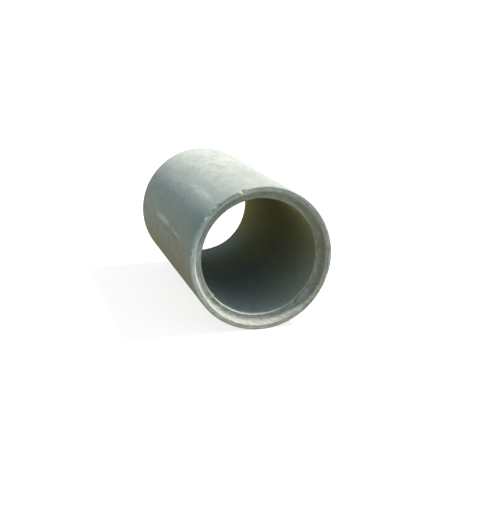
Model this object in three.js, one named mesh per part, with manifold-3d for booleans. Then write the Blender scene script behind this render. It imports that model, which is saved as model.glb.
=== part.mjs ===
// A precast concrete sewer pipe, cast in one piece, lying on its side on level ground.
// One end has a groove (socket) and the other the tongue (spigot) that the next pipe's groove takes.
//
// Millimetres, +Z up. The pipe's axis runs along Y, with the groove end towards -Y.
// The origin is under the middle of the pipe, on the line along which it touches the ground.

import * as THREE from "three";
import { mergeVertices } from "three/addons/utils/BufferGeometryUtils.js";
import Module from "manifold-3d";

// ---- Barrel ----
const BORE_DIAMETER = 600;
const WALL = 70;
const LAYING_LENGTH = 1250; // from the groove end's face to the tongue's shoulder

// ---- Tongue and groove ----
const GROOVE_DEPTH = 45;
const LIP_THICKNESS = 27; // of the wall outside the groove, at the groove's mouth
const GROOVE_TAPER = 13; // how far the groove closes in on the way down to its shoulder
const JOINT_CLEARANCE = 3; // mortar space round the tongue and at its nose

// ---- Rounded corners, each the distance from the sharp corner to where its rounding starts ----
const OUTER_ARRIS = 6; // round the barrel, at both ends
const LIP_ARRIS = 5; // inside the lip, at the groove's mouth
const GROOVE_FILLET = 12; // in the groove's inner corner
const BORE_MOUTH_ARRIS = 3; // where the bore opens into the groove
const BORE_END_ARRIS = 8; // and inside the tongue's nose
const ROUNDING_SHARE = 0.45; // the most of a straight stretch that one rounding may take

// ---- How finely round shapes are faceted ----
const SIDES = 96;
const STEPS_PER_CORNER = 3;
const MERGE_DISTANCE = 1e-3; // vertices closer than this are one vertex

// ---- Chips broken out of the groove end's rim ----
// angle: of its deepest point, in degrees round the axis, from +X (0) over the crown (90)
// before, after: how far it spreads round the rim, towards smaller and towards larger angles
// depth: in towards the axis, reach: back along the pipe
// form: 1 breaks out straight faces, 2 a smooth scoop
const CHIPS = [
  { angle: 106.6, before: 42, after: 26, depth: LIP_THICKNESS, reach: 27, form: 1.1 },
  { angle: 128.7, before: 13, after: 10, depth: 10, reach: 10, form: 1.4 },
  { angle: 141, before: 8, after: 7, depth: 8, reach: 9, form: 1.5 },
  { angle: 148, before: 14, after: 16, depth: 8, reach: 9, form: 1.4 },
  { angle: 156, before: 10, after: 9, depth: 8, reach: 9, form: 1.4 },
  { angle: 171, before: 18, after: 16, depth: 7, reach: 8, form: 1.3 },
  { angle: 23.2, before: 11, after: 9, depth: 7, reach: 8, form: 1.2 },
  { angle: 10.5, before: 15, after: 14, depth: 6, reach: 7, form: 1.2 },
  { angle: -31, before: 24, after: 18, depth: 6, reach: 9, form: 1.2 },
];
const CHIP_DETAIL = 3; // how often each edge of a chip's eight faces is split

const CONCRETE_FINISH = { color: 0xa9ada3, roughness: 0.9, metalness: 0 };

// ---- Sizes that follow from those above ----
const BORE_RADIUS = BORE_DIAMETER / 2;
const OUTER_RADIUS = BORE_RADIUS + WALL;
const GROOVE_MOUTH_RADIUS = OUTER_RADIUS - LIP_THICKNESS;
const GROOVE_SHOULDER_RADIUS = GROOVE_MOUTH_RADIUS - GROOVE_TAPER;
const TONGUE_LENGTH = GROOVE_DEPTH - JOINT_CLEARANCE;
const TONGUE_ROOT_RADIUS = GROOVE_MOUTH_RADIUS - JOINT_CLEARANCE;
const TONGUE_NOSE_RADIUS = TONGUE_ROOT_RADIUS - (GROOVE_TAPER * TONGUE_LENGTH) / GROOVE_DEPTH;
const TONGUE_FILLET = LIP_ARRIS + JOINT_CLEARANCE; // stays clear of the next pipe's lip
const NOSE_ARRIS = GROOVE_FILLET - JOINT_CLEARANCE; // stays clear of the next pipe's groove
const OVERALL_LENGTH = LAYING_LENGTH + TONGUE_LENGTH;

const LIP_Y = -OVERALL_LENGTH / 2;
const GROOVE_SHOULDER_Y = LIP_Y + GROOVE_DEPTH;
const TONGUE_SHOULDER_Y = LIP_Y + LAYING_LENGTH;
const NOSE_Y = OVERALL_LENGTH / 2;

const wasm = await Module();
wasm.setup();

/** A closed outline through the given corners, each rounded off over its own distance. */
function roundedOutline(corners) {
  const at = corners.map(({ radius, y }) => new THREE.Vector2(radius, y));
  const outline = new THREE.Path();
  outline.autoClose = true;
  corners.forEach(({ round }, i) => {
    const corner = at[i];
    const toLast = at.at(i - 1).clone().sub(corner);
    const toNext = at[(i + 1) % at.length].clone().sub(corner);
    const room = ROUNDING_SHARE * Math.min(toLast.length(), toNext.length());
    const start = corner.clone().add(toLast.setLength(Math.min(round, room)));
    const end = corner.clone().add(toNext.setLength(Math.min(round, room)));
    if (i === 0) outline.moveTo(start.x, start.y);
    else outline.lineTo(start.x, start.y);
    outline.quadraticCurveTo(corner.x, corner.y, end.x, end.y);
  });
  return outline.getPoints(STEPS_PER_CORNER);
}

/** The pipe's wall in section: radius from the axis, and place along the axis. */
function wallSection() {
  return roundedOutline([
    { radius: BORE_RADIUS, y: GROOVE_SHOULDER_Y, round: BORE_MOUTH_ARRIS },
    { radius: GROOVE_SHOULDER_RADIUS, y: GROOVE_SHOULDER_Y, round: GROOVE_FILLET },
    { radius: GROOVE_MOUTH_RADIUS, y: LIP_Y, round: LIP_ARRIS },
    { radius: OUTER_RADIUS, y: LIP_Y, round: OUTER_ARRIS },
    { radius: OUTER_RADIUS, y: TONGUE_SHOULDER_Y, round: OUTER_ARRIS },
    { radius: TONGUE_ROOT_RADIUS, y: TONGUE_SHOULDER_Y, round: TONGUE_FILLET },
    { radius: TONGUE_NOSE_RADIUS, y: NOSE_Y, round: NOSE_ARRIS },
    { radius: BORE_RADIUS, y: NOSE_Y, round: BORE_END_ARRIS },
  ]);
}

/** The whole wall turned round the Y axis, with its flats, not its edges, on the true radii. */
function turnedWall() {
  const halfSide = Math.PI / SIDES;
  const turned = new THREE.LatheGeometry(wallSection(), SIDES, halfSide);
  const toFlats = 1 / Math.cos(halfSide);
  return turned.scale(toFlats, 1, toFlats);
}

/** A closed geometry as a manifold solid. */
function toSolid(geometry) {
  const bare = new THREE.BufferGeometry();
  bare.setAttribute("position", geometry.getAttribute("position"));
  bare.setIndex(geometry.getIndex());
  const merged = mergeVertices(bare, MERGE_DISTANCE);
  return new wasm.Manifold(
    new wasm.Mesh({
      numProp: 3,
      vertProperties: new Float32Array(merged.getAttribute("position").array),
      triVerts: new Uint32Array(merged.getIndex().array),
    }),
  );
}

/** A manifold solid as a flat-shaded geometry. */
function toGeometry(solid) {
  const { vertProperties, triVerts } = solid.getMesh();
  const joined = new THREE.BufferGeometry();
  joined.setAttribute("position", new THREE.BufferAttribute(vertProperties, 3));
  joined.setIndex(new THREE.BufferAttribute(triVerts, 1));
  const faceted = joined.toNonIndexed();
  faceted.computeVertexNormals();
  return faceted;
}

/** What breaks off in one chip: a lopsided, blunted diamond centred on the rim's outer corner. */
function chipCutter({ angle, before, after, depth, reach, form }) {
  const cutter = new THREE.OctahedronGeometry(1, CHIP_DETAIL);
  const position = cutter.getAttribute("position");
  const point = new THREE.Vector3();
  for (let i = 0; i < position.count; i += 1) {
    point.fromBufferAttribute(position, i);
    const spread = point.toArray().reduce((sum, v) => sum + Math.abs(v) ** form, 0);
    point.multiplyScalar(spread ** (-1 / form));
    const side = point.z < 0 ? before : after;
    position.setXYZ(i, point.x * depth, point.y * reach, point.z * side);
  }
  cutter.translate(OUTER_RADIUS, LIP_Y, 0); // x points out from the axis, z round the rim
  cutter.rotateY(-THREE.MathUtils.degToRad(angle));
  return toSolid(cutter);
}

/** The whole pipe, lying on the ground. */
function concretePipe() {
  const whole = toSolid(turnedWall());
  const chipped = CHIPS.reduce((pipe, chip) => pipe.subtract(chipCutter(chip)), whole);
  const concrete = new THREE.MeshStandardMaterial(CONCRETE_FINISH);
  const mesh = new THREE.Mesh(toGeometry(chipped), concrete);
  mesh.name = "concrete_pipe";
  mesh.position.z = OUTER_RADIUS;
  return mesh;
}

const part = new THREE.Group();
part.add(concretePipe());

export default part;
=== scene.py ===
"""A precast concrete sewer pipe lying on its side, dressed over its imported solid.

The pipe is one casting: a barrel, a tapered groove in its near end and a tongue on its far end.
Lengths are metres unless a name says otherwise. The axis runs along Y, one outer radius above the floor,
and angles round it count in degrees from +X, over the crown at 90.
"""

from __future__ import annotations

import logging
import math
import random
from dataclasses import dataclass, field
from enum import Enum
from typing import Any

import bmesh
import bpy
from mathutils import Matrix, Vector, noise

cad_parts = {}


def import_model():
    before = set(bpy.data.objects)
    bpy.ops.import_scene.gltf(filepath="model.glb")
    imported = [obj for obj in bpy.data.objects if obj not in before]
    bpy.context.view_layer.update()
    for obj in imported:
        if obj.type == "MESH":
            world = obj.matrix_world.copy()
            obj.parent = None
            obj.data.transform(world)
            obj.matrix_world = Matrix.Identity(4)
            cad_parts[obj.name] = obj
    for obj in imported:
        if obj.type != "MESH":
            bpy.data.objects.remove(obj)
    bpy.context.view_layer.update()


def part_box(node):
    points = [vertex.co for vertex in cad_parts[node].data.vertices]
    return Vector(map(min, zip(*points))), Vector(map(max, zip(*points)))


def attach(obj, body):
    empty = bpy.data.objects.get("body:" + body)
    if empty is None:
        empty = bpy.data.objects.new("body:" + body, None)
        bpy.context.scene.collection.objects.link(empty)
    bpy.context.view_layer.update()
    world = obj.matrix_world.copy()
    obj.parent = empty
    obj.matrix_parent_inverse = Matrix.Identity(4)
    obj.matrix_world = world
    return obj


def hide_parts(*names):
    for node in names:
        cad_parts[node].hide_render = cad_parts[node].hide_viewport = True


LOG = logging.getLogger("concrete_pipe")
MM = 0.001
WHITE = (1.0, 1.0, 1.0, 1.0)


def linear(hex_colour: str) -> tuple[float, float, float, float]:
    """Turns an sRGB colour to the linear colour that shaders take.

    Args:
        hex_colour: The colour as six hex digits, such as "c8cabd".

    Returns:
        Linear red, green and blue, with an alpha of 1.
    """
    channels = [int(hex_colour[i : i + 2], 16) / 255 for i in (0, 2, 4)]
    red, green, blue = (c / 12.92 if c <= 0.04045 else ((c + 0.055) / 1.055) ** 2.4 for c in channels)
    return red, green, blue, 1.0


def ramp(value: float, start: float, end: float) -> float:
    """The share of the way from start to end that a value has gone, held between 0 and 1."""
    return min(1.0, max(0.0, (value - start) / (end - start)))


def add_node(
    tree: bpy.types.NodeTree,
    kind: str,
    settings: dict[str, Any] | None = None,
    inputs: dict[str | int, Any] | None = None,
) -> bpy.types.Node:
    """Adds a shader node with its settings, values and links.

    Args:
        tree: The node tree that the node goes in.
        kind: The node's type without the ShaderNode in front, such as "TexNoise".
        settings: The node's own properties by name.
        inputs: What goes in each input, by its name or number: a value, an output to link, or a node whose
            first output is linked.

    Returns:
        The new node.
    """
    node = tree.nodes.new(f"ShaderNode{kind}")
    for name, value in (settings or {}).items():
        setattr(node, name, value)
    for key, value in (inputs or {}).items():
        named = (socket for socket in node.inputs if socket.name == key and socket.enabled)
        socket = node.inputs[key] if isinstance(key, int) else next(named)
        if isinstance(value, bpy.types.Node):
            value = next(output for output in value.outputs if output.enabled)
        if isinstance(value, bpy.types.NodeSocket):
            tree.links.new(value, socket)
        else:
            socket.default_value = value
    return node


class Edge(Enum):
    """The rings where two faces of the pipe meet."""

    BORE_MOUTH = "bore mouth, at the groove's shoulder"
    GROOVE_ROOT = "groove root"
    GROOVE_MOUTH = "groove mouth"
    LIP_RIM = "outer rim of the groove end"
    SHOULDER_RIM = "outer rim of the tongue end"
    TONGUE_ROOT = "tongue root"
    TONGUE_NOSE = "tongue nose"
    BORE_END = "bore end, inside the tongue"


class Mark(Enum):
    """What has happened to the concrete at a point, and the light and shade painted on it, kept on the mesh
    for the material to colour.
    """

    WORN = "worn"
    BROKEN = "broken"
    # Pale fresh concrete, which also carries painted highlights: the line where the key light catches the
    # bore's edge below, and the crumbs on it.
    FRESH_AND_LIT = "freshly broken and painted highlight"
    # Dark dirt, which also carries painted shade: the lip's shadow on the groove wall near the mouth, the
    # lip's shaded upper left, and shade in the notch and the small chips of the rim.
    GRIME_AND_SHADE = "grime_and_shade"
    # Blue-grey silt, which also carries painted shade: laid thinnest near the bore's openings and fullest in
    # its middle, its blue partly painted sky light.
    SILT_AND_SHADE = "silt_and_shade"
    # Dark green slime, which also carries painted shade where the bore is darkest, just past its middle.
    SLIME_AND_SHADE = "slime_and_shade"
    ALGAE = "algae"
    # Paler, yellower algae, which also carries painted light: it grows towards the far end, where light comes
    # in through the far opening.
    DRIED_AND_LIT = "dried algae and painted light"
    EARTH = "earth"
    # Blue-grey and darker: some damp, and painted shade where the barrel, the lip and the upper groove wall
    # turn from the key light.
    DAMP_AND_SHADE = "damp_and_shade"
    # Paler concrete: some sun bleaching, and a painted highlight where the key light falls hardest, on the
    # crown, the far crown, the groove's left wall, the dubbed groove mouth and, with wear, the lip's face.
    BLEACHED_AND_LIT = "bleached_and_lit"
    TROWELLED = "trowelled"
    WASHED = "washed"


RING_PLACE = "place on the ring"
TURNED_ORDER = "order when turned"


@dataclass(frozen=True)
class Corner:
    """A corner of the wall's section.

    Attributes:
        edge: The ring that the corner makes.
        radius: Its distance from the axis.
        along: Its place along the axis.
        rounding: How far from the sharp corner its rounding starts.
        inward: The way into the concrete, as signs outwards from the axis and along it.
    """

    edge: Edge
    radius: float
    along: float
    rounding: float
    inward: tuple[int, int]


@dataclass(frozen=True)
class Wear:
    """How far handling has worn an edge back.

    Attributes:
        mean: The usual depth of the wear on both faces.
        ragged: How much deeper its deepest bites go.
        bite: The length of one bite, measured round the ring.
    """

    mean: float
    ragged: float
    bite: float


@dataclass(frozen=True)
class Stretch:
    """A part of the way round the groove end.

    Attributes:
        start: The angle where it starts.
        end: The angle where it ends.
        fade: The angle over which it fades out beyond each end.
    """

    start: float
    end: float
    fade: float

    def share(self, angle: float) -> float:
        """How much of it there is at an angle, from 0 to 1."""
        middle = (self.start + self.end) / 2
        beyond = abs((angle - middle + 180) % 360 - 180) - (self.end - self.start) / 2
        return 1 - ramp(beyond, 0, self.fade)


@dataclass(frozen=True)
class KnockedRim(Stretch):
    """A stretch of the outer rim that has been knocked about more than the rest.

    Attributes:
        even: How much deeper the wear is all along it.
        ragged: How much deeper its bites go.
    """

    even: float
    ragged: float


@dataclass(frozen=True)
class Stain(Stretch):
    """A stretch of the groove end marked more than the rest: dirtier, paler, or painted light and shade.

    Attributes:
        mark: What it lays: what has settled on it, paleness, or painted light and shade.
        amount: How much of it there is, from 0 to 1.
    """

    mark: Mark
    amount: float


@dataclass(frozen=True)
class Course:
    """An amount that runs straight from each given point to the next, and is level beyond the outer two.

    Attributes:
        points: Each point's place in millimetres, in rising order, and the amount there.
    """

    points: tuple[tuple[float, float], ...]

    def at(self, place: float) -> float:
        """The amount at a place given in metres."""
        amount = self.points[0][1]
        for (start, low), (end, high) in zip(self.points, self.points[1:]):
            amount += (high - low) * ramp(place, start * MM, end * MM)
        return amount


@dataclass(frozen=True)
class Spot:
    """A point of the pipe's surface.

    Attributes:
        angle: Its angle round the axis.
        height: Its height above the axis.
        back: Its distance behind the lip's face.
        deep: Its depth under the barrel's skin.
        outside: Its distance out from the bore.
        cloud: The level of a slow noise there, to make the bounds of what has settled uneven.
    """

    angle: float
    height: float
    back: float
    deep: float
    outside: float
    cloud: float


def laid(stains: tuple[Stain, ...], mark: Mark, angle: float) -> float:
    """How much of one mark the stains lay at an angle, from 0 to 1, be it dirt, paleness or painted light and
    shade.
    """
    return max((stain.amount * stain.share(angle) for stain in stains if stain.mark is mark), default=0.0)


@dataclass(frozen=True)
class Spall:
    """A piece broken out of the groove end's rim.

    Attributes:
        angle: Where its deepest point is round the rim.
        before: How far it spreads round the rim towards smaller angles.
        after: How far it spreads towards larger angles.
        depth: How far it goes in towards the axis.
        reach: How far it goes back along the barrel.
        mark: What its broken face has become, which for some spalls is painted shade with grime.
        before_mark: What its side towards smaller angles has become, if that differs.
        form: Its form, where 1 leaves straight broken faces and 2 a smooth scoop.
        before_form: The form of its side towards smaller angles, which flares out below 1, if it differs.
        after_form: The form of its side towards larger angles, if it differs.
        slant: How far its deepest line runs towards smaller angles for each length that it runs back.
        cuts: How often the edges of the mesh are cut round it, to draw its broken face.
        before_line: Where its side towards smaller angles ends for the marks, as a share of after.
        mark_fade: The shares of the push at which its mark starts and is full.
        halvings: How often the way to the broken face is halved to find it.
    """

    angle: float
    before: float
    after: float
    depth: float
    reach: float
    mark: Mark = Mark.BROKEN
    before_mark: Mark | None = None
    form: float = 1.1
    before_form: float | None = None
    after_form: float | None = None
    slant: float = 0.0
    cuts: int = 1
    before_line: float = 0.12
    mark_fade: tuple[float, float] = (-0.1, 0.2)
    halvings: int = 18

    def holds(self, across: float, inward: float, back: float) -> bool:
        """Whether a point lies in what has broken off.

        Args:
            across: The point's distance round the rim from the deepest point.
            inward: Its depth below the barrel's surface.
            back: Its distance behind the lip's face.

        Returns:
            True if it does.
        """
        off_line = across + self.slant * back
        width, side_form = (self.after, self.after_form) if off_line > 0 else (self.before, self.before_form)
        aside = (abs(off_line) / width) ** (side_form or self.form)
        under = (max(inward, 0) / self.depth) ** self.form
        return aside + under + (max(back, 0) / self.reach) ** self.form < 1

    def push(self, across: float, inward: float, back: float) -> float:
        """How far a point of the unbroken rim moves to lie on the broken face.

        Args:
            across: The point's distance round the rim from the deepest point.
            inward: Its depth below the barrel's surface.
            back: Its distance behind the lip's face.

        Returns:
            The share of depth and of reach that the point moves by, or 0 outside the spall.
        """
        if not self.holds(across, inward, back):
            return 0.0
        low, high = 0.0, 1.0
        for _ in range(self.halvings):
            move = (low + high) / 2
            if self.holds(across, inward + move * self.depth, back + move * self.reach):
                low = move
            else:
                high = move
        return low


@dataclass(frozen=True)
class Burr:
    """A crumb of mortar that stands up on the bore mouth's edge.

    Attributes:
        angle: Where it is round the edge.
        size: How high it stands, and about how far it spreads.
    """

    angle: float
    size: float


def ring_noise(angle: float, radius: float, bite: float, seed: float) -> float:
    """Noise from 0 to 1 that runs round a ring and closes on itself.

    Args:
        angle: The angle round the ring, in radians.
        radius: The ring's radius.
        bite: The length round the ring of one swing of the noise.
        seed: Which of many different noises.

    Returns:
        The noise there.
    """
    place = Vector((math.cos(angle) * radius / bite, math.sin(angle) * radius / bite, seed))
    return ramp(noise.noise(place), -0.5, 0.5)


def soft_noise(place: Vector, octaves: int) -> float:
    """Noise about 0, with each octave half as large and half as strong as the one before it."""
    return noise.fractal(place, 1.0, 2.0, octaves)


@dataclass
class ConcretePipe:
    """The whole casting, with its joint profile, its worn edges, its spalls and its surface relief."""

    outer_radius: float
    length: float

    # The wall's section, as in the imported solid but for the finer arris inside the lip.
    bore_radius: float = 300 * MM
    groove_depth: float = 45 * MM
    lip_thickness: float = 27 * MM
    groove_taper: float = 13 * MM
    joint_clearance: float = 3 * MM
    outer_arris: float = 6 * MM
    lip_arris: float = 2.5 * MM
    groove_fillet: float = 12 * MM
    bore_mouth_arris: float = 3 * MM
    bore_end_arris: float = 8 * MM

    # How fine the mesh is round the axis, along the wall and in the corners, and from which angle two of its
    # faces meet in a sharp edge.
    sector_steps: int = 64
    sectors: int = 8
    near_ring: float = 4 * MM
    far_ring: float = 6.4 * MM
    barrel_ring: float = 32 * MM
    bore_ring: float = 40 * MM
    near_band: float = 60 * MM
    corner_segments: int = 4
    sharp_angle: float = 42.0

    # The wear of the edges: long bites with nibbles in them, and more where the rim was knocked about. The
    # groove's mouth is dubbed off, worn round, along one stretch.
    wear_margin: float = 18 * MM
    wear_fade: float = 6 * MM
    bite_share: float = 0.7
    nibble_share: float = 0.3
    knocked_nibble_share: float = 0.4
    nibbles_in_bite: int = 3
    bite_seed: float = 7.3
    nibble_seeds: tuple[float, float] = (3.7, 50)
    edge_wear: dict[Edge, Wear] = field(
        default_factory=lambda: {
            Edge.LIP_RIM: Wear(1.5 * MM, 2.5 * MM, 18 * MM),
            Edge.GROOVE_MOUTH: Wear(0.8 * MM, 1.8 * MM, 20 * MM),
            Edge.BORE_MOUTH: Wear(2.6 * MM, 1.8 * MM, 26 * MM),
            Edge.SHOULDER_RIM: Wear(2.0 * MM, 3.0 * MM, 24 * MM),
            Edge.TONGUE_NOSE: Wear(2.0 * MM, 3.5 * MM, 20 * MM),
            Edge.BORE_END: Wear(0.5 * MM, 1.0 * MM, 26 * MM),
        }
    )
    knocked_rims: tuple[KnockedRim, ...] = (
        KnockedRim(103, 106.5, 3, 5.5 * MM, 1.0 * MM),
        KnockedRim(126, 140, 6, 1.5 * MM, 2.5 * MM),
        KnockedRim(140, 165, 8, 3.0 * MM, 4.5 * MM),
        KnockedRim(165, 200, 8, 2.0 * MM, 4.0 * MM),
        KnockedRim(-42, -22, 8, 2.0 * MM, 3.0 * MM),
        KnockedRim(4, 27, 8, 0.5 * MM, 1.0 * MM),
    )
    dubbed_mouth: Stretch = Stretch(-20, 60, 20)
    dubbed_size: float = 9 * MM
    dubbed_even: float = 0.6

    # The spalls, how far the finer mesh reaches round each, and how rough its outline and its face are.
    spalls: tuple[Spall, ...] = (
        # The notch's side towards larger angles and the small chips on the rim's left are marked dark:
        # painted shade in them, with some grime.
        Spall(106.6, 42 * MM, 26 * MM, 27 * MM, 27 * MM, Mark.GRIME_AND_SHADE, Mark.BROKEN, 1.0, 0.6, 0.5, 0.1, 3),
        Spall(127.1, 6 * MM, 6 * MM, 10 * MM, 8 * MM, Mark.GRIME_AND_SHADE, form=1.5),
        Spall(129.8, 7 * MM, 5 * MM, 10 * MM, 10 * MM, Mark.FRESH_AND_LIT),
        Spall(141, 7 * MM, 6 * MM, 8 * MM, 9 * MM, Mark.GRIME_AND_SHADE, form=1.5),
        Spall(145.5, 8 * MM, 6 * MM, 8 * MM, 8 * MM, Mark.GRIME_AND_SHADE, form=1.5),
        Spall(150, 8 * MM, 10 * MM, 8 * MM, 9 * MM, Mark.GRIME_AND_SHADE, form=1.4),
        Spall(156, 9 * MM, 8 * MM, 8 * MM, 9 * MM, Mark.GRIME_AND_SHADE, form=1.4),
        Spall(171, 16 * MM, 14 * MM, 7 * MM, 8 * MM, Mark.GRIME_AND_SHADE, form=1.3),
        Spall(23.2, 10 * MM, 8 * MM, 6 * MM, 8 * MM),
        Spall(12.8, 8 * MM, 8 * MM, 4 * MM, 6 * MM),
        Spall(8.6, 7 * MM, 9 * MM, 3 * MM, 5 * MM),
        Spall(-31, 22 * MM, 16 * MM, 5 * MM, 9 * MM),
    )
    spall_slack: float = 1.1
    spall_margin: float = 4 * MM
    spall_band: float = 10 * MM
    rough_size: float = 14 * MM
    rough_share: float = 0.08
    crumble_size: float = 9 * MM
    crumble_share: float = 0.12
    crumble_offset: tuple[float, float, float] = (3, 5, 7)

    # The crumbs of mortar. Each is seated that far out from the bore and behind its mouth, and leans towards
    # the axis and forwards by those shares of its size.
    # The crumbs are also painted pale as their highlights.
    burrs: tuple[Burr, ...] = (Burr(-144, 9 * MM), Burr(-127, 3 * MM), Burr(-77, 4 * MM))
    burr_seat: tuple[float, float] = (2 * MM, 1 * MM)
    burr_lean: tuple[float, float] = (-0.7, -0.8)
    burr_spread: float = 1.8
    burr_foot: float = 5 * MM
    burr_fresh_and_lit: float = 2.5

    # The silt in the bore, and the relief of mould and trowel: a wide swell, and a grain near the ends.
    silt_bed: Stretch = Stretch(-100, -78, 24)
    silt_thickness: float = 6 * MM
    swell_size: float = 160 * MM
    grain_size: float = 14 * MM
    grain_offset: tuple[float, float, float] = (9, 1, 4)
    relief_height: float = 0.45 * MM
    grain_band: float = 60 * MM

    # The air holes, which lie only in sound concrete. Each step down is an inset and a depth, as shares of
    # the hole's size.
    pit_sizes: tuple[float, ...] = (1.3 * MM, 1.7 * MM, 2.1 * MM)
    pits_of_each_size: int = 60
    pit_room: float = 9 * MM
    pit_steps: tuple[tuple[float, float], ...] = ((0.18, -0.70), (0.30, -0.35))
    sound_limit: float = 0.2
    seed: int = 11

    @property
    def lip(self) -> float:
        """Where the groove end's face is along the axis."""
        return -self.length / 2

    @property
    def groove_mouth_radius(self) -> float:
        """The groove's radius at the lip's face."""
        return self.outer_radius - self.lip_thickness

    def corners(self) -> list[Corner]:
        """The corners of the wall's section, in order round it."""
        shoulder = self.lip + self.groove_depth
        tongue_length = self.groove_depth - self.joint_clearance
        tongue_shoulder, end = self.length / 2 - tongue_length, self.length / 2
        mouth = self.groove_mouth_radius
        root = mouth - self.joint_clearance
        nose = root - self.groove_taper * tongue_length / self.groove_depth
        tongue_fillet = self.lip_arris + self.joint_clearance
        nose_arris = self.groove_fillet - self.joint_clearance
        return [
            Corner(Edge.BORE_MOUTH, self.bore_radius, shoulder, self.bore_mouth_arris, (1, 1)),
            Corner(Edge.GROOVE_ROOT, mouth - self.groove_taper, shoulder, self.groove_fillet, (1, 1)),
            Corner(Edge.GROOVE_MOUTH, mouth, self.lip, self.lip_arris, (1, 1)),
            Corner(Edge.LIP_RIM, self.outer_radius, self.lip, self.outer_arris, (-1, 1)),
            Corner(Edge.SHOULDER_RIM, self.outer_radius, tongue_shoulder, self.outer_arris, (-1, -1)),
            Corner(Edge.TONGUE_ROOT, root, tongue_shoulder, tongue_fillet, (1, -1)),
            Corner(Edge.TONGUE_NOSE, nose, end, nose_arris, (-1, -1)),
            Corner(Edge.BORE_END, self.bore_radius, end, self.bore_end_arris, (1, -1)),
        ]

    def draw_section(self, mesh: bmesh.types.BMesh) -> None:
        """Draws the wall's section in the XY plane, with a point wherever a ring of the mesh will be.

        Args:
            mesh: The empty mesh that it is drawn in.
        """
        near_ends = {
            Edge.LIP_RIM: self.lip + self.near_band,
            Edge.BORE_END: self.lip + self.groove_depth + self.near_band,
        }
        outline: list[bmesh.types.BMVert] = []
        rounded: list[tuple[bmesh.types.BMVert, float]] = []
        for corner in self.corners():
            point = mesh.verts.new((corner.radius, corner.along, 0))
            rounded.append((point, corner.rounding))
            outline.append(point)
            if corner.edge in near_ends:
                outline.append(mesh.verts.new((corner.radius, near_ends[corner.edge], 0)))
        for first, second in zip(outline, outline[1:] + outline[:1]):
            mesh.edges.new((first, second))
        for point, rounding in rounded:
            bmesh.ops.bevel(
                mesh,
                geom=[point],
                affect="VERTICES",
                offset=rounding,
                offset_type="OFFSET",
                segments=self.corner_segments,
                profile=0.5,
                material=-1,
            )
        for edge in mesh.edges[:]:
            middle = (edge.verts[0].co + edge.verts[1].co) / 2
            cuts = round(edge.calc_length() / self.ring_spacing(middle.x, middle.y)) - 1
            if cuts > 0:
                bmesh.ops.subdivide_edges(mesh, edges=[edge], cuts=cuts)

    def ring_spacing(self, radius: float, along: float) -> float:
        """How far apart the rings of the mesh are at a point of the section."""
        if along < self.lip + self.near_band:
            return self.near_ring
        if radius > self.outer_radius - MM:
            return self.barrel_ring
        if radius < self.bore_radius + MM:
            return self.bore_ring
        return self.far_ring

    def turn(self, mesh: bmesh.types.BMesh) -> None:
        """Turns the section into one sector of the pipe, and copies the sector round the axis.

        Args:
            mesh: The mesh that holds the section.
        """
        sector_angle = 2 * math.pi / self.sectors
        bmesh.ops.spin(
            mesh,
            geom=mesh.verts[:] + mesh.edges[:],
            cent=(0, 0, 0),
            axis=(0, -1, 0),
            angle=sector_angle,
            steps=self.sector_steps,
        )
        bmesh.ops.spin(
            mesh,
            geom=mesh.verts[:] + mesh.edges[:] + mesh.faces[:],
            cent=(0, 0, 0),
            axis=(0, -1, 0),
            angle=2 * math.pi - sector_angle,
            steps=self.sectors - 1,
            use_duplicate=True,
        )
        bmesh.ops.remove_doubles(mesh, verts=mesh.verts[:], dist=0.01 * MM)
        bmesh.ops.recalc_face_normals(mesh, faces=mesh.faces[:])

    def refine_spalls(self, mesh: bmesh.types.BMesh) -> None:
        """Gives the rim a finer mesh where it is broken.

        The cutting leaves the points in another order each run. So those that were there before are also
        numbered from 1, in their old order, and the new ones get 0.

        Args:
            mesh: The turned pipe.
        """
        numbers = {vert.co[:]: number for number, vert in enumerate(mesh.verts, 1)}
        for spall in self.spalls:
            turned = math.radians(spall.angle)
            aside, up = math.cos(turned) * self.outer_radius, math.sin(turned) * self.outer_radius
            middle = Vector((aside, self.lip, up))
            near = self.spall_slack * max(spall.before, spall.after) + self.spall_margin
            back = self.lip + spall.reach + self.spall_band
            edges = [
                edge
                for edge in mesh.edges
                if max(vert.co.y for vert in edge.verts) < back
                and ((edge.verts[0].co + edge.verts[1].co) / 2 - middle).length < near
            ]
            bmesh.ops.subdivide_edges(mesh, edges=edges, cuts=spall.cuts, use_grid_fill=True)
        order = mesh.verts.layers.int.new(TURNED_ORDER)
        for vert in mesh.verts:
            vert[order] = numbers.get(vert.co[:], 0)

    def wear_edges(self, mesh: bmesh.types.BMesh) -> None:
        """Pushes the edges back where they are worn, and marks the worn concrete.

        Args:
            mesh: The turned pipe.
        """
        worn = mesh.verts.layers.float.new(Mark.WORN.value)
        corners = {corner.edge: corner for corner in self.corners()}
        for vert in mesh.verts:
            radius, angle = math.hypot(vert.co.x, vert.co.z), math.atan2(vert.co.z, vert.co.x)
            for number, (edge, wear) in enumerate(self.edge_wear.items()):
                corner = corners[edge]
                inward = (radius - corner.radius) * corner.inward[0]
                back = (vert.co.y - corner.along) * corner.inward[1]
                if not (-MM < inward < self.wear_margin and -MM < back < self.wear_margin):
                    continue
                size = self.wear_size(edge, angle, corner.radius, wear, number)
                push = (size - inward - back) / 2
                vert[worn] = max(vert[worn], ramp(inward + back - size, self.wear_fade, 0))
                if push > 0:
                    radius += push * corner.inward[0]
                    vert.co.y += push * corner.inward[1]
                    vert.co.x, vert.co.z = radius * math.cos(angle), radius * math.sin(angle)

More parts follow.
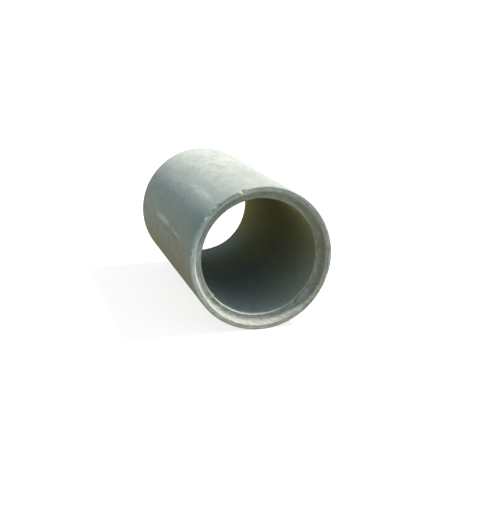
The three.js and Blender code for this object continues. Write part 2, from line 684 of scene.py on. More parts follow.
    def wear_size(self, edge: Edge, angle: float, radius: float, wear: Wear, number: int) -> float:
        """How much is worn off an edge at one place, added up over its two faces.

        Args:
            edge: The edge.
            angle: The angle of the place round the ring, in radians.
            radius: The edge's distance from the axis.
            wear: The edge's wear.
            number: The edge's number, so that no two edges wear alike.

        Returns:
            The length that is worn off.
        """
        bites = ring_noise(angle, radius, wear.bite, number * self.bite_seed)
        step, start = self.nibble_seeds
        nibbles = ring_noise(angle, radius, wear.bite / self.nibbles_in_bite, number * step + start)
        size = wear.mean + wear.ragged * (self.bite_share * bites**2 + self.nibble_share * nibbles)
        if edge is Edge.GROOVE_MOUTH:
            uneven = self.dubbed_even + (1 - self.dubbed_even) * bites
            size += self.dubbed_size * self.dubbed_mouth.share(math.degrees(angle)) * uneven
        if edge is Edge.LIP_RIM:
            ragged = self.bite_share * bites**2 + self.knocked_nibble_share * nibbles
            for knocked in self.knocked_rims:
                size += knocked.share(math.degrees(angle)) * (knocked.even + knocked.ragged * ragged)
        return size

    def break_rim(self, mesh: bmesh.types.BMesh) -> None:
        """Breaks the spalls out of the rim, and marks the broken concrete, with painted shade in some spalls.

        Args:
            mesh: The turned pipe.
        """
        kinds = (Mark.BROKEN, Mark.FRESH_AND_LIT, Mark.GRIME_AND_SHADE)
        layers = {mark: mesh.verts.layers.float.new(mark.value) for mark in kinds}
        deepest = max(spall.reach for spall in self.spalls)
        for vert in [v for v in mesh.verts if v.co.y < self.lip + deepest]:
            radius, angle = math.hypot(vert.co.x, vert.co.z), math.atan2(vert.co.z, vert.co.x)
            inward, back = self.outer_radius - radius, vert.co.y - self.lip
            rough = 1 + self.rough_share * soft_noise(vert.co / self.rough_size, 3)
            crumbled = vert.co / self.crumble_size + Vector(self.crumble_offset)
            crumble = 1 + self.crumble_share * soft_noise(crumbled, 3)
            for spall in self.spalls:
                turned = (angle - math.radians(spall.angle) + math.pi) % (2 * math.pi) - math.pi
                across = turned * self.outer_radius * rough
                push = spall.push(across, inward, back)
                if push > 0:
                    radius -= push * crumble * spall.depth
                    vert.co.y += push * crumble * spall.reach
                    vert.co.x, vert.co.z = radius * math.cos(angle), radius * math.sin(angle)
                    before = across + spall.slant * back < spall.before_line * spall.after
                    layer = layers[(before and spall.before_mark) or spall.mark]
                    vert[layer] = max(vert[layer], ramp(push, *spall.mark_fade))

    def raise_burrs(self, mesh: bmesh.types.BMesh) -> None:
        """Raises the crumbs of mortar on the bore mouth's edge, and marks them as freshly broken and painted
        pale as highlights.

        Args:
            mesh: The turned pipe.
        """
        fresh_and_lit = mesh.verts.layers.float[Mark.FRESH_AND_LIT.value]
        out, behind = self.burr_seat
        inward, forward = self.burr_lean
        for burr in self.burrs:
            turned = math.radians(burr.angle)
            outward = Vector((math.cos(turned), 0, math.sin(turned)))
            push = Vector((inward * outward.x, forward, inward * outward.z))
            seat = Vector((0, self.lip + self.groove_depth + behind, 0))
            top = outward * (self.bore_radius + out) + seat
            for vert in mesh.verts:
                past_foot = ramp(vert.co.y, top.y, top.y + self.burr_foot)
                near = 1 - (vert.co - top).length / (self.burr_spread * burr.size) - past_foot
                if near > 0:
                    vert.co += burr.size * near * push
                    vert[fresh_and_lit] = max(vert[fresh_and_lit], min(1.0, self.burr_fresh_and_lit * near))

    def bed_silt(self, mesh: bmesh.types.BMesh) -> None:
        """Builds up the silt that has set hard along the bottom of the bore, towards the far end.

        Args:
            mesh: The turned pipe.
        """
        for vert in mesh.verts:
            radius, angle = math.hypot(vert.co.x, vert.co.z), math.atan2(vert.co.z, vert.co.x)
            if radius < self.bore_radius + MM:
                settled = self.silt_thickness * self.silt_bed.share(math.degrees(angle))
                thickness = settled * ramp(vert.co.y, 0, self.length / 3)
                vert.co.x *= 1 - thickness / radius
                vert.co.z *= 1 - thickness / radius

    def roughen(self, mesh: bmesh.types.BMesh) -> None:
        """Gives the faces the slight relief that the mould and the trowel leave.

        Args:
            mesh: The turned pipe.
        """
        mesh.normal_update()
        moves = []
        for vert in mesh.verts:
            at_end = self.length / 2 - abs(vert.co.y) < self.grain_band
            swell = soft_noise(vert.co / self.swell_size, 2)
            grain = soft_noise(vert.co / self.grain_size + Vector(self.grain_offset), 2)
            height = self.relief_height * (swell - 1) + (self.relief_height * (grain - 1) if at_end else 0)
            moves.append(vert.normal * height)
        for vert, move in zip(mesh.verts, moves):
            vert.co += move
            shrink = min(1.0, self.outer_radius / math.hypot(vert.co.x, vert.co.z))
            vert.co.x *= shrink
            vert.co.z *= shrink
            vert.co.y = max(-self.length / 2, min(self.length / 2, vert.co.y))

    def sink_pits(self, mesh: bmesh.types.BMesh) -> None:
        """Sinks the small round holes that trapped air leaves in a cast face.

        They are drawn from the points that the pipe was turned with, in that order, so that each run draws
        the same ones. The numbers that refine_spalls gave these points are dropped here.

        Args:
            mesh: The turned pipe.
        """
        chooser = random.Random(self.seed)
        order = mesh.verts.layers.int[TURNED_ORDER]
        hurt = [mesh.verts.layers.float[mark.value] for mark in (Mark.BROKEN, Mark.GRIME_AND_SHADE, Mark.WORN)]
        sound = [
            vert
            for vert in mesh.verts
            if vert[order] > 0
            and len(vert.link_edges) == 4
            and max(vert[layer] for layer in hurt) < self.sound_limit
            and max(edge.calc_length() for edge in vert.link_edges) < self.pit_room
        ]
        sound.sort(key=lambda vert: vert[order])
        chosen = chooser.sample(sound, self.pits_of_each_size * len(self.pit_sizes))
        for number, size in enumerate(self.pit_sizes):
            picked = [vert for vert in chosen[number :: len(self.pit_sizes)] if vert.is_valid]
            patch = bmesh.ops.bevel(
                mesh,
                geom=picked,
                affect="VERTICES",
                offset=size,
                offset_type="OFFSET",
                segments=2,
                profile=0.5,
                material=-1,
                clamp_overlap=True,
            )["faces"]
            for thickness, depth in self.pit_steps:
                bmesh.ops.inset_region(mesh, faces=patch, thickness=thickness * size, depth=depth * size)
        mesh.verts.layers.int.remove(mesh.verts.layers.int[TURNED_ORDER])

    def build(self, material: bpy.types.Material) -> bpy.types.Object:
        """Makes the pipe and dresses it.

        Args:
            material: The concrete that the whole pipe is made of.

        Returns:
            The finished pipe, in place.
        """
        solid = bmesh.new()
        self.draw_section(solid)
        self.turn(solid)
        self.refine_spalls(solid)
        self.wear_edges(solid)
        self.break_rim(solid)
        self.raise_burrs(solid)
        self.bed_silt(solid)
        self.roughen(solid)
        self.sink_pits(solid)
        Weathering(self).soil(solid)
        bmesh.ops.translate(solid, verts=solid.verts[:], vec=(0, 0, self.outer_radius))
        mesh = bpy.data.meshes.new("cast_pipe")
        solid.to_mesh(mesh)
        solid.free()
        mesh.shade_smooth()
        mesh.set_sharp_from_angle(angle=math.radians(self.sharp_angle))
        mesh.materials.append(material)
        piece = bpy.data.objects.new("cast_pipe", mesh)
        bpy.context.scene.collection.objects.link(piece)
        return piece


@dataclass(frozen=True)
class Weathering:
    """What has settled on the pipe outdoors, where wear and the sun have left it clean or pale, and the light
    and shade painted on it.

    The last word of a Course's name says what it runs over, which is one of a Spot's distances: back, high,
    deep or out.
    """

    pipe: ConcretePipe

    cloud_size: float = 90 * MM
    cloud_stretch: float = 2.5
    streak_lean: float = 0.8
    bore_margin: float = 5 * MM
    shoulder_margin: float = 2 * MM

    # The bore.
    # The bore is painted darkest in its middle and paler towards both openings: painted shade, with silt and
    # slime.
    silt_and_shade_back: Course = Course(((45, 0.20), (645, 1.00), (1042, 0.785), (1292, 0.47)))
    # Painted shade, with slime, where the bore is darkest.
    slime_and_shade_back: Course = Course(((596, 0), (896, 1), (946, 1), (1196, 0.2)))
    algae_back: Course = Course(((45, 0.60), (645, 1.00)))
    algae_high: Course = Course(((-300, 0), (0, 1)))
    algae_cloud: float = 40 * MM
    # Painted light from the far opening, with paler algae.
    dried_and_lit_back: Course = Course(((646, 0), (1292, 1)))
    dried_and_lit_high: Course = Course(((-50, 0), (150, 0.25)))
    bore_end_back: Course = Course(((1242, 0), (1267, 1)))

    # Its mouth's edge, broken fresh below, and painted pale there as the highlight where the key light
    # catches it.
    fresh_and_lit_bore_edge: Stretch = Stretch(-146, -71, 14)
    fresh_and_lit_edge_back: Course = Course(((46, 1), (48, 0)))
    fresh_and_lit_edge_out: Course = Course(((4, 1), (6.5, 0)))

    # The groove: its mouth, its wall, and its floor, which is the shoulder.
    wall_back: Course = Course(((0, 0), (25, 1)))
    floor_back: Course = Course(((31, 0), (43, 1)))
    mouth_back: Course = Course(((7, 1), (14, 0)))
    grime_out: Course = Course(((3, 0), (7, 1)))
    wide_grime_out: Course = Course(((7, 0.6), (18, 1)))
    floor_bleached_and_sunlit: float = 0.3
    algae_out: Course = Course(((1, 0.5), (7, 0)))
    worn_out: Course = Course(((7, 0), (11, 1)))
    washed_high: Course = Course(((-200, 1), (-50, 0.2)))
    trowelled_floor: float = 0.5
    groove_stains: tuple[Stain, ...] = (
        Stain(-172, -60, 12, Mark.GRIME_AND_SHADE, 0.22),
        Stain(-138, -98, 8, Mark.GRIME_AND_SHADE, 0.30),
        Stain(-30, 30, 22, Mark.GRIME_AND_SHADE, 0.38),
        # The groove wall's upper left is painted darker and blue-grey: painted shade, with some grime and
        # damp.
        Stain(105, 160, 12, Mark.GRIME_AND_SHADE, 0.20),
        Stain(105, 160, 12, Mark.DAMP_AND_SHADE, 0.50),
        Stain(-44, 20, 16, Mark.EARTH, 0.85),
        # Painted sunlight on the groove's left wall, where the key light reaches it.
        Stain(164, 194, 12, Mark.BLEACHED_AND_LIT, 1.00),
    )
    floor_stains: tuple[Stain, ...] = (
        Stain(-160, 160, 10, Mark.GRIME_AND_SHADE, 0.30),
        Stain(-174, -50, 10, Mark.GRIME_AND_SHADE, 0.80),
        Stain(-140, -85, 10, Mark.GRIME_AND_SHADE, 1.00),
        Stain(-35, 45, 20, Mark.GRIME_AND_SHADE, 0.55),
        Stain(-85, 25, 20, Mark.EARTH, 0.90),
    )
    mouth_stains: tuple[Stain, ...] = (
        # Painted shadow of the lip on the groove's wall and on the lip's face near the mouth.
        Stain(-78, -54, 10, Mark.GRIME_AND_SHADE, 0.50),
        # Painted highlight on the dubbed groove mouth.
        Stain(-45, 75, 15, Mark.BLEACHED_AND_LIT, 0.90),
    )

    # The lip's face and its outer rim.
    face_back: Course = Course(((2, 1), (8, 0)))
    rim_back: Course = Course(((6, 1), (12, 0)))
    rim_deep: Course = Course(((8, 1), (19, 0)))
    rimless_grime_and_shade: float = 0.4
    face_trowelled_high: Course = Course(((-100, 1), (200, 0.5)))
    # The lip's face is painted paler all round: partly worn, partly painted light.
    face_bleached_and_lit: float = 0.54
    worn_mouth: Stretch = Stretch(125, 215, 20)
    worn_dubbed: float = 0.6
    worn_inside: float = 0.2
    lip_stains: tuple[Stain, ...] = (
        # Painted shade on the lip's upper left, with some grime.
        Stain(109, 134, 4, Mark.GRIME_AND_SHADE, 0.55),
        Stain(140, 155, 6, Mark.GRIME_AND_SHADE, 0.12),
        Stain(32, 92, 16, Mark.GRIME_AND_SHADE, 0.50),
        Stain(-45, -18, 12, Mark.EARTH, 1.00),
        Stain(-112, -45, 20, Mark.EARTH, 0.80),
        Stain(-110, -50, 16, Mark.FRESH_AND_LIT, 0.22),
        # Painted blue-grey shade on the lip's upper left, with some damp.
        Stain(122, 172, 12, Mark.DAMP_AND_SHADE, 0.60),
        Stain(166, 194, 12, Mark.BLEACHED_AND_LIT, 1.00),
        Stain(166, 194, 12, Mark.FRESH_AND_LIT, 0.35),
    )

    # The barrel.
    skin_deep: Course = Course(((0, 1), (16, 0)))
    earth_high: Course = Course(((-100, 1), (250, 0)))
    earth_cloud: float = 40 * MM
    skin_cloud: float = 100 * MM
    # Painted blue-grey shade along the barrel's terminator, strongest at the lip, with a lighter spot kept
    # near the lip.
    damp_and_shaded_barrel: Stretch = Stretch(123, 154, 15)
    damp_and_shaded_back: Course = Course(((0, 1), (292.5, 0.35)))
    less_damp_and_shaded_barrel: Stretch = Stretch(126, 133, 6)
    less_damp_and_shaded_back: Course = Course(((250, 0.8), (450, 0)))
    # The crown, and more so the far end's crown, are painted paler: a painted highlight where the key light
    # falls hardest, with some sun bleaching.
    bleached_and_lit_barrel: Stretch = Stretch(86, 195, 24)
    bleached_and_lit_back: Course = Course(((300, 0), (1292, 1)))
    bleached_and_lit_high: Course = Course(((0, 0.42), (300, 0.77)))
    bleached_and_sunlit_crown: Stretch = Stretch(98, 124, 12)
    crown_cloud: float = 60
    crown_back: Course = Course(((80, 0), (260, 0.25)))
    far_crown_turn: float = 8
    far_crown_back: Course = Course(((1046, 0), (1246, 0.6)))

    def soil(self, mesh: bmesh.types.BMesh) -> None:
        """Marks where silt, algae, grime and earth have settled, where the sun has bleached the pipe, and the
        painted light and shade.

        Args:
            mesh: The turned pipe.
        """
        pipe = self.pipe
        layers = {mark: mesh.verts.layers.float.get(mark.value) for mark in Mark}
        layers = {mark: layer or mesh.verts.layers.float.new(mark.value) for mark, layer in layers.items()}
        ring_place = mesh.verts.layers.float_vector.new(RING_PLACE)
        shoulder, mouth = pipe.lip + pipe.groove_depth, pipe.groove_mouth_radius
        for vert in mesh.verts:
            radius, height, along = math.hypot(vert.co.x, vert.co.z), vert.co.z, vert.co.y
            angle = math.degrees(math.atan2(height, vert.co.x))
            place = Vector((vert.co.x, along / self.cloud_stretch, height)) / self.cloud_size
            outside, deep = radius - pipe.bore_radius, pipe.outer_radius - radius
            spot = Spot(angle, height, along - pipe.lip, deep, outside, soft_noise(place, 3))
            vert[ring_place] = self.place_on_ring(angle, radius + along)
            marks = {mark: vert[layer] for mark, layer in layers.items()}
            if outside < min(self.bore_margin, along - shoulder):
                self.soil_bore(spot, marks)
            elif along < shoulder + self.shoulder_margin and radius < mouth:
                self.soil_groove(spot, marks)
            elif radius > mouth:
                self.soil_skin(spot, marks)
            for mark, layer in layers.items():
                vert[layer] = marks[mark]

    def place_on_ring(self, angle: float, outward: float) -> Vector:
        """Where a point lies on the groove end unrolled, for the streaks that lean as they cross it.

        Args:
            angle: The point's angle round the axis.
            outward: How far out along the wall's section the point is.

        Returns:
            The point's place on a ring of the groove mouth's size, with outward as its Y.
        """
        radius = self.pipe.groove_mouth_radius
        turned = math.radians(angle) + self.streak_lean * outward / radius
        return Vector((math.cos(turned), 0, math.sin(turned))) * radius + Vector((0, outward, 0))

    def soil_bore(self, spot: Spot, marks: dict[Mark, float]) -> None:
        """Soils a point of the bore: silt below, algae above, painted shade and light along it, and a fresh
        edge with a painted highlight where its mouth is knocked.

        Args:
            spot: The point.
            marks: How much of each mark it holds, which this changes.
        """
        # knocked is the stretch where the bore's edge is painted pale as its highlight, along with its fresh
        # breaks.
        knocked = self.fresh_and_lit_bore_edge.share(spot.angle)
        fresh_and_lit = knocked * self.fresh_and_lit_edge_back.at(spot.back)
        algae = self.algae_high.at(spot.height + self.algae_cloud * spot.cloud) * (1 - fresh_and_lit)
        marks[Mark.ALGAE] = self.algae_back.at(spot.back) * algae
        # Painted light towards the far end.
        marks[Mark.DRIED_AND_LIT] = max(self.dried_and_lit_back.at(spot.back), self.dried_and_lit_high.at(spot.height)) * algae
        # Silt with painted shade, fullest in the bore's middle.
        marks[Mark.SILT_AND_SHADE] = self.silt_and_shade_back.at(spot.back) * (1 - fresh_and_lit)
        marks[Mark.SLIME_AND_SHADE] = self.slime_and_shade_back.at(spot.back)
        marks[Mark.GRIME_AND_SHADE] = max(marks[Mark.GRIME_AND_SHADE], self.bore_end_back.at(spot.back))
        marks[Mark.FRESH_AND_LIT] = max(marks[Mark.FRESH_AND_LIT], fresh_and_lit)
        # Worn paleness on the bore's edge is kept only along that painted highlight.
        marks[Mark.WORN] *= knocked

    def soil_groove(self, spot: Spot, marks: dict[Mark, float]) -> None:
        """Soils a point of the groove's wall, or of its shoulder, which is its floor.

        Args:
            spot: The point.
            marks: How much of each mark it holds, which this changes.
        """
        # knocked is the stretch where the bore's edge is painted pale as its highlight.
        knocked = self.fresh_and_lit_bore_edge.share(spot.angle)
        on_wall, on_floor = self.wall_back.at(spot.back), self.floor_back.at(spot.back)
        at_mouth = self.mouth_back.at(spot.back)
        wide = self.wide_grime_out.points[0][1]
        spread = max(wide + (1 - wide) * knocked, self.wide_grime_out.at(spot.outside))
        spread *= self.grime_out.at(spot.outside)
        grime_and_shade = laid(self.groove_stains, Mark.GRIME_AND_SHADE, spot.angle) * on_wall * (1 - on_floor)
        grime_and_shade += laid(self.floor_stains, Mark.GRIME_AND_SHADE, spot.angle) * on_floor * spread
        # Painted shadow near the groove's mouth.
        grime_and_shade += laid(self.mouth_stains, Mark.GRIME_AND_SHADE, spot.angle) * at_mouth
        # Painted sunlight on the groove's wall, less of it on the floor.
        bleached_and_sunlit = laid(self.groove_stains, Mark.BLEACHED_AND_LIT, spot.angle)
        bleached_and_sunlit *= 1 - (1 - self.floor_bleached_and_sunlit) * on_floor
        marks[Mark.GRIME_AND_SHADE] = max(marks[Mark.GRIME_AND_SHADE], grime_and_shade)
        marks[Mark.EARTH] = laid(self.floor_stains, Mark.EARTH, spot.angle) * on_floor
        marks[Mark.EARTH] += laid(self.groove_stains, Mark.EARTH, spot.angle) * (1 - on_floor)
        marks[Mark.BLEACHED_AND_LIT] = max(bleached_and_sunlit, laid(self.mouth_stains, Mark.BLEACHED_AND_LIT, spot.angle) * at_mouth)
        marks[Mark.DAMP_AND_SHADE] = laid(self.groove_stains, Mark.DAMP_AND_SHADE, spot.angle)
        marks[Mark.ALGAE] = (1 - knocked) * self.algae_out.at(spot.outside)
        marks[Mark.FRESH_AND_LIT] = max(marks[Mark.FRESH_AND_LIT], knocked * self.fresh_and_lit_edge_out.at(spot.outside))
        marks[Mark.WORN] *= self.worn_out.at(spot.outside)
        marks[Mark.WASHED] = (1 - on_floor) * self.washed_high.at(spot.height)
        marks[Mark.TROWELLED] = self.trowelled_floor * on_floor

    def soil_skin(self, spot: Spot, marks: dict[Mark, float]) -> None:
        """Soils a point of the lip's face, the rim or the barrel.

        Args:
            spot: The point.
            marks: How much of each mark it holds, which this changes.
        """
        face, on_skin = self.face_back.at(spot.back), self.skin_deep.at(spot.deep)
        at_rim = self.rim_deep.at(spot.deep)
        drifted = spot.back + self.skin_cloud * spot.cloud
        stained = max(face, at_rim * self.rim_back.at(spot.back))
        stained *= self.rimless_grime_and_shade + (1 - self.rimless_grime_and_shade) * at_rim
        grime_and_shade = stained * laid(self.lip_stains, Mark.GRIME_AND_SHADE, spot.angle)
        # Painted shadow on the lip's face near the groove's mouth.
        grime_and_shade += face * (1 - at_rim) * laid(self.mouth_stains, Mark.GRIME_AND_SHADE, spot.angle)
        marks[Mark.GRIME_AND_SHADE] = max(marks[Mark.GRIME_AND_SHADE], grime_and_shade)
        low = self.earth_high.at(spot.height + self.earth_cloud * spot.cloud)
        marks[Mark.EARTH] = max(low * on_skin, face * laid(self.lip_stains, Mark.EARTH, spot.angle))
        marks[Mark.FRESH_AND_LIT] = max(marks[Mark.FRESH_AND_LIT], face * laid(self.lip_stains, Mark.FRESH_AND_LIT, spot.angle))
        # Painted highlight on the crown, strongest towards the far end, with some sun bleaching.
        bleached_and_sunlit = self.bleached_and_lit_barrel.share(spot.angle) * self.bleached_and_lit_high.at(spot.height)
        bleached_and_sunlit *= self.bleached_and_lit_back.at(drifted)
        crown = self.bleached_and_sunlit_crown.share(spot.angle + self.crown_cloud * spot.cloud)
        far_crown = self.bleached_and_sunlit_crown.share(spot.angle + self.far_crown_turn)
        bleached_and_sunlit += crown * self.crown_back.at(spot.back) + far_crown * self.far_crown_back.at(spot.back)
        bleached_and_lit = laid(self.lip_stains, Mark.BLEACHED_AND_LIT, spot.angle)
        marks[Mark.BLEACHED_AND_LIT] = face * (self.face_bleached_and_lit + (1 - self.face_bleached_and_lit) * bleached_and_lit)
        marks[Mark.BLEACHED_AND_LIT] += (1 - face) * min(1.0, bleached_and_sunlit)
        # Painted shade along the barrel's terminator, with some damp.
        damp_and_shade = self.damp_and_shaded_barrel.share(spot.angle) * self.damp_and_shaded_back.at(drifted)
        damp_and_shade *= 1 - self.less_damp_and_shaded_barrel.share(spot.angle) * self.less_damp_and_shaded_back.at(spot.back)
        marks[Mark.DAMP_AND_SHADE] = damp_and_shade * on_skin * (1 - face) + face * laid(self.lip_stains, Mark.DAMP_AND_SHADE, spot.angle)
        dubbed = self.worn_dubbed * self.pipe.dubbed_mouth.share(spot.angle)
        worn = max(self.worn_mouth.share(spot.angle), dubbed)
        kept = self.worn_inside + (1 - self.worn_inside) * worn
        marks[Mark.WORN] *= (1 - marks[Mark.GRIME_AND_SHADE]) * max(at_rim, kept)
        marks[Mark.TROWELLED] = face * self.face_trowelled_high.at(spot.height)


@dataclass(frozen=True)
class Patches:
    """A colour that lies over the one below it in soft patches.

    Attributes:
        colour: The colour of the patches.
        size: How large they are across.
        bare: The level of the noise, from 0 to 1, up to which nothing is covered.
        full: The level from which the colour is at its full strength.
        strength: That strength, from 0 to 1.
        where: The mark on the mesh that they keep to, if they keep to one.
        stretch: How many times longer they are along the pipe than round it.
        detail: How many finer noises are added to the noise that shapes them.
        round_axis: Whether they follow the rings of the groove end. Then stretch is how many times longer
            they are away from the axis than round it.
    """

    colour: str
    size: float
    bare: float
    full: float
    strength: float
    where: Mark | None = None
    stretch: float = 1.0
    detail: float = 3.0
    round_axis: bool = False


@dataclass(frozen=True)
class ScuffAndShade:
    """A mark scraped along the barrel, or the painted shade along the lower side of one.

    Attributes:
        angle: Where it is round the barrel.
        start: Where it starts along the axis.
        end: Where it ends.
        width: How wide it is.
        strength: How much of its colour it holds, from 0 to 1.
        colour: The colour that it leaves, which is dark where it is painted shade.
    """

    angle: float
    start: float
    end: float
    width: float
    strength: float
    colour: str = "f4f0e2"


@dataclass(frozen=True)
class Relief:
    """One bump of the surface.

    Attributes:
        size: How far apart its swells are.
        height: How high they are.
        strength: How much of that height the eye sees, from 0 to 1.
    """

    size: float
    height: float
    strength: float


@dataclass(frozen=True)
class CastConcrete:
    """Precast concrete, cast dry against a steel mould.

    Grey cement paste over sand, so it is matt and close-grained, softly mottled, with a few air holes. It is
    paler where edges have worn down to fresh concrete, and darker where silt, algae and grime have settled.
    Some of these marks also paint light and shade: highlights where the key light falls hardest, and shade
    where the surface turns from it, deep in the bore and in the lip's shadow.
    """

    paste: str = "cacdc4"
    roughness: float = 0.9
    # The sand's grains are 1 to 2 mm. They are drawn 5 to 9 mm across, so that they show.
    patches: tuple[Patches, ...] = (
        Patches("babdb3", 150 * MM, 0.35, 0.65, 0.46, stretch=2.5),
        Patches("dcdcd0", 60 * MM, 0.50, 0.75, 0.40, stretch=2.5),
        # Paler cover: sun bleaching and painted highlight.
        Patches("f0f0e6", 300 * MM, 0.10, 0.45, 0.75, Mark.BLEACHED_AND_LIT, 1.5),
        Patches("9a9c93", 38 * MM, 0.45, 0.72, 0.28, stretch=2.0),
        Patches("eeeee6", 32 * MM, 0.50, 0.74, 0.30, stretch=2.0),
        Patches("7b7d75", 9 * MM, 0.52, 0.72, 0.30, stretch=1.5, detail=2.0),
        Patches("f2f2ea", 8 * MM, 0.56, 0.74, 0.28, stretch=1.5, detail=2.0),
        Patches("bba985", 60 * MM, 0.15, 0.60, 0.85, Mark.EARTH, 1.5),
        # Blue-grey cover: damp and painted shade.
        Patches("98acab", 120 * MM, 0.10, 0.50, 0.60, Mark.DAMP_AND_SHADE, 2.0),
        # Dark cover: grime and painted shade.
        Patches("878a7e", 30 * MM, 0.10, 0.45, 0.88, Mark.GRIME_AND_SHADE),
        Patches("6a675a", 10 * MM, 0.50, 0.70, 0.40, Mark.GRIME_AND_SHADE),
        Patches("c8c8bc", 11 * MM, 0.55, 0.72, 0.40, Mark.GRIME_AND_SHADE),
        # Blue-grey cover in the bore: silt and painted shade.
        Patches("6c7b7f", 120 * MM, 0.00, 0.15, 0.96, Mark.SILT_AND_SHADE, 2.0),
        # Dark green cover: slime and painted shade.
        Patches("5e6c4a", 120 * MM, 0.00, 0.15, 0.60, Mark.SLIME_AND_SHADE, 2.0),
        Patches("8f894d", 120 * MM, 0.00, 0.15, 0.95, Mark.ALGAE, 2.0),
        # Pale yellow cover: dried algae and painted light.
        Patches("b3ad62", 120 * MM, 0.00, 0.15, 0.90, Mark.DRIED_AND_LIT, 2.0),
        Patches("dddfd6", 8 * MM, 0.30, 0.60, 0.75, Mark.WORN),
        Patches("7b7c70", 6 * MM, 0.55, 0.72, 0.45, Mark.WORN),
        Patches("d2d2c8", 12 * MM, 0.00, 0.30, 0.90, Mark.BROKEN),
        Patches("a6a79d", 5 * MM, 0.50, 0.70, 0.40, Mark.BROKEN),
        Patches("6f6e60", 60 * MM, 0.50, 0.62, 0.62, Mark.TROWELLED, 0.20, round_axis=True),
        Patches("ecebe0", 50 * MM, 0.50, 0.62, 0.62, Mark.TROWELLED, 0.20, round_axis=True),
        Patches("7f8076", 15 * MM, 0.50, 0.64, 0.42, Mark.WASHED, 3.0, round_axis=True),
        Patches("f6f4e8", 14 * MM, 0.52, 0.66, 0.36, Mark.WASHED, 3.0, round_axis=True),
        # Palest cover: fresh breaks and painted highlight.
        Patches("f4f4ec", 20 * MM, 0.00, 0.20, 0.90, Mark.FRESH_AND_LIT),
    )
    noise_detail: float = 3.0
    noise_roughness: float = 0.6
    scuffs_and_shade: tuple[ScuffAndShade, ...] = (
        # The dark ones are painted shade along the lower side of the pale scrapes, each laid before its pale
        # one.
        ScuffAndShade(171.2, -0.240, 0.140, 40 * MM, 0.35, "6d706a"),
        ScuffAndShade(167.8, -0.190, 0.250, 58 * MM, 1.00),
        ScuffAndShade(166.9, -0.130, 0.110, 46 * MM, 0.90, "fbf6e6"),
        ScuffAndShade(170.8, -0.450, -0.180, 26 * MM, 0.35, "6d706a"),
        ScuffAndShade(168.6, -0.440, -0.150, 26 * MM, 0.90),
        ScuffAndShade(128.0, -0.640, 0.000, 56 * MM, 0.60, "f0f4ee"),
    )
    # A scuff is rubbed in streaks along the barrel, and fades in over scuff_fade of its half width.
    streak_size: float = 12 * MM
    streak_stretch: float = 4
    streak_levels: tuple[float, float] = (0.35, 0.60)
    between_streaks: float = 0.3
    scuff_fade: float = 0.6
    relief: tuple[Relief, ...] = (
        Relief(2.5 * MM, 0.6 * MM, 0.5),
        Relief(22 * MM, 1.1 * MM, 0.6),
    )
    silted_relief: float = 0.3
    # Air holes lie in less than half of the cells, and are at most this share of a cell's width.
    hole_spacing: float = 24 * MM
    hole_chance: float = 0.45
    hole_size: float = 0.09
    hole_edge: float = 0.02
    hole_depth: float = 1.5 * MM
    hole_strength: float = 0.8
    # The barrel's, on which the scuffs lie.
    outer_radius: float = 370 * MM

    def lay_patches(
        self, tree: bpy.types.NodeTree, place: bpy.types.NodeSocket, under: Any, patches: Patches
    ) -> bpy.types.Node:
        """Lays one colour over another in patches.

        Args:
            tree: The material's nodes.
            place: The point of the surface.
            under: The colour or node below.
            patches: The colour on top, and where it lies.

        Returns:
            The node that gives the new colour.
        """
        if patches.round_axis:
            place = add_node(tree, "Attribute", {"attribute_name": RING_PLACE}).outputs["Vector"]
        drawn = add_node(tree, "Mapping", inputs={"Vector": place, "Scale": (1, 1 / patches.stretch, 1)})
        cloud = add_node(
            tree,
            "TexNoise",
            inputs={
                "Vector": drawn,
                "Scale": 1 / patches.size,
                "Detail": patches.detail,
                "Roughness": self.noise_roughness,
            },
        )
        levels = {"From Min": patches.bare, "From Max": patches.full, "To Max": patches.strength}
        amount = add_node(tree, "MapRange", inputs={"Value": cloud, **levels})
        if patches.where:
            mark = add_node(tree, "Attribute", {"attribute_name": patches.where.value}).outputs["Fac"]
            amount = add_node(tree, "Math", {"operation": "MULTIPLY"}, {0: amount, 1: mark})
        over = {"Factor": amount, "A": under, "B": linear(patches.colour)}
        return add_node(tree, "Mix", {"data_type": "RGBA"}, over)

    def lay_scuff(
        self, tree: bpy.types.NodeTree, place: bpy.types.NodeSocket, under: bpy.types.Node, scuff: ScuffAndShade
    ) -> bpy.types.Node:
        """Lays one scuff over the colour below.

        Args:
            tree: The material's nodes.
            place: The point of the surface.
            under: The node that gives the colour below.
            scuff: The scuff.

        Returns:
            The node that gives the new colour.
        """
        turned = math.radians(scuff.angle)
        radius = self.outer_radius
        middle = (scuff.start + scuff.end) / 2
        centre = (math.cos(turned) * radius, middle, math.sin(turned) * radius + radius)
        half_sizes = (scuff.width, (scuff.end - scuff.start) / 2, scuff.width / 2)
        local = add_node(
            tree,
            "Mapping",
            {"vector_type": "TEXTURE"},
            {"Vector": place, "Location": centre, "Rotation": (0, -turned, 0), "Scale": half_sizes},
        )
        near = add_node(tree, "TexGradient", {"gradient_type": "SPHERICAL"}, {"Vector": local}).outputs["Fac"]
        drawn = add_node(tree, "Mapping", inputs={"Vector": place, "Scale": (1, 1 / self.streak_stretch, 1)})
        scale = {"Scale": 1 / self.streak_size, "Detail": self.noise_detail}
        streaks = add_node(tree, "TexNoise", inputs={"Vector": drawn, **scale})
        low, high = self.streak_levels
        levels = {"From Min": low, "From Max": high, "To Min": self.between_streaks}
        rubbed = add_node(tree, "MapRange", inputs={"Value": streaks, **levels})
        spread = add_node(
            tree,
            "MapRange",
            {"interpolation_type": "SMOOTHSTEP"},
            {"Value": near, "From Max": self.scuff_fade, "To Max": scuff.strength},
        )
        amount = add_node(tree, "Math", {"operation": "MULTIPLY"}, {0: spread, 1: rubbed})
        over = {"Factor": amount, "A": under, "B": linear(scuff.colour)}
        return add_node(tree, "Mix", {"data_type": "RGBA"}, over)

